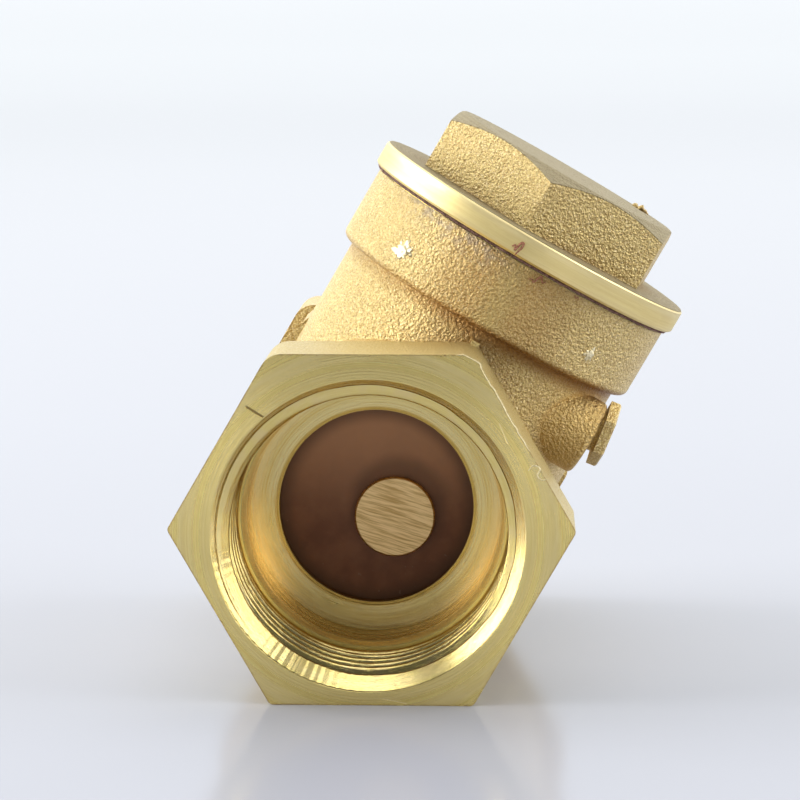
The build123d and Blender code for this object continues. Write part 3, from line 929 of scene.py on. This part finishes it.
def add_fibres(looks):
    """Ragged gasket edge, and its fibres that stick out under the flange, at (angle, height)."""
    loop = ((-5.6, 34.2), (-4.8, 34.5), (-4.2, 34.0), (-3.6, 34.9), (-2.8, 35.1), (-2.6, 34.6),
            (-3.0, 34.1), (-3.4, 33.5))
    squiggle = ((4.5, 31.9), (5.6, 32.1), (6.6, 31.9), (7.3, 32.5), (8.0, 32.9), (8.7, 32.5),
                (9.5, 32.3), (10.2, 32.6))
    short = ((21.4, 32.9), (22.2, 32.6), (22.9, 32.8), (23.5, 32.4))
    fibres = (("fibre_loop", loop, FLANGE_R + 0.12, 0.14),
              ("fibre_squiggle", squiggle, COLLAR_R + 0.09, 0.10),
              ("fibre_short", short, COLLAR_R + 0.07, 0.06))
    for name, places, radius, thickness in fibres:
        route = [round_bonnet(radius, angle, height) for angle, height in places]
        add_piece(strand(name, route, thickness), looks["fibre_red"], "gasket")
    add_piece(gasket_edge(), looks["gasket_fibre"], "gasket")


def add_burrs(looks):
    """Burr and swarf left by the tool at the edge of the inlet face."""
    bright = looks["bright_metal"]
    add_piece(face_burr(), bright, "body")
    swarf = ((17.3, 7.3), (17.9, 7.9), (18.6, 7.5), (18.3, 6.8), (18.8, 6.3), (19.4, 6.5))
    route = [Vector((x, -0.06, z)) * MM for x, z in swarf]
    add_piece(strand("edge_swarf", route, 0.08), bright, "body")


CAMERA_PLACE = Vector((16.356, -347.848, 59.376))
CAMERA_YAW = -0.037
CAMERA_PITCH = 0.127
CAMERA_LENS = 146.67


def make_camera():
    """Camera of the main view: a long lens, a little above and to the right of the bore."""
    data = bpy.data.cameras.new("camera")
    data.lens = CAMERA_LENS
    data.sensor_width = 36.0
    data.clip_start = 0.01
    data.clip_end = 200.0
    level = math.cos(CAMERA_PITCH)
    forward = Vector((math.sin(CAMERA_YAW) * level, math.cos(CAMERA_YAW) * level,
                      -math.sin(CAMERA_PITCH)))
    right = forward.cross(Vector((0, 0, 1))).normalized()
    up = right.cross(forward)
    camera = bpy.data.objects.new("camera", data)
    rows = Matrix((right, up, -forward)).transposed().to_4x4()
    camera.matrix_world = Matrix.Translation(CAMERA_PLACE * MM) @ rows
    bpy.context.scene.collection.objects.link(camera)
    bpy.context.scene.camera = camera


def add_softbox(name, place, width, height, watts):
    """Area light, sized in metres, that faces the middle of the valve."""
    data = bpy.data.lights.new(name, "AREA")
    data.shape = "RECTANGLE"
    data.size = width
    data.size_y = height
    data.energy = watts
    light = bpy.data.objects.new(name, data)
    light.location = place
    aim = Vector((0.01, 0.03, 0.01)) - Vector(place)
    light.rotation_euler = aim.to_track_quat("-Z", "Y").to_euler()
    bpy.context.scene.collection.objects.link(light)


def make_world():
    """Pale room that is bright behind the valve and dim on the camera's side."""
    world = bpy.data.worlds.new("studio")
    world.use_nodes = True
    tree = world.node_tree
    background = tree.nodes["Background"]
    direction = tree.nodes.new("ShaderNodeTexCoord").outputs["Generated"]
    split = tree.nodes.new("ShaderNodeSeparateXYZ")
    tree.links.new(direction, split.inputs[0])
    ramp = tree.nodes.new("ShaderNodeMapRange")
    ramp.interpolation_type = "SMOOTHSTEP"
    tree.links.new(split.outputs["Y"], ramp.inputs["Value"])
    ramp.inputs["From Min"].default_value = -0.75
    ramp.inputs["From Max"].default_value = 0.55
    ramp.inputs["To Min"].default_value = WORLD_DIM
    ramp.inputs["To Max"].default_value = WORLD_BRIGHT
    tree.links.new(ramp.outputs["Result"], background.inputs["Strength"])
    background.inputs["Color"].default_value = (0.93, 0.965, 1.0, 1)
    bpy.context.scene.world = world


# name, place and size in metres, and power in watts
SOFTBOXES = (
    ("left_softbox", (-0.75, 0.05, 0.30), 0.7, 0.7, 7.0),
    ("right_softbox", (0.80, 0.0, 0.40), 0.8, 0.8, 4.5),
    ("back_softbox", (0.0, 0.75, 0.80), 0.9, 0.9, 2.5),
    ("front_left_panel", (-0.68, -0.95, 0.10), 0.9, 0.2, 1.05),
    ("front_right_panel", (0.68, -0.95, 0.10), 0.9, 0.2, 1.2),
    ("front_panel", (0.0, -1.1, 0.05), 1.4, 0.12, 0.25),
    ("front_top_softbox", (0.0, -0.25, 0.75), 0.6, 0.4, 1.3),
)
FLOOR_REACH = 80.0                     # metres, so that the floor runs on to the horizon
FLOOR_DROP = 0.02                      # millimetres, so that the valve doesn't cut the floor


def make_studio():
    """Floor, pale surroundings and soft lights."""
    low = CAD_BOX[0].z
    corners = [(x * FLOOR_REACH, y * FLOOR_REACH, low) for x, y in ((-1, -1), (1, -1), (1, 1), (-1, 1))]
    floor = mesh_object("floor", corners, [(0, 1, 2, 3)], smooth=False)
    floor.location.z = -FLOOR_DROP * MM
    dress(floor, white_floor())
    make_world()
    for name, place, width, height, watts in SOFTBOXES:
        add_softbox(name, place, width, height, watts)
    view = bpy.context.scene.view_settings
    view.view_transform = "Standard"


make_camera()
make_studio()
looks_by_name = make_looks()
dress_cad_nodes(looks_by_name)
add_threads(looks_by_name)
add_blemishes(looks_by_name)
add_fibres(looks_by_name)
add_burrs(looks_by_name)
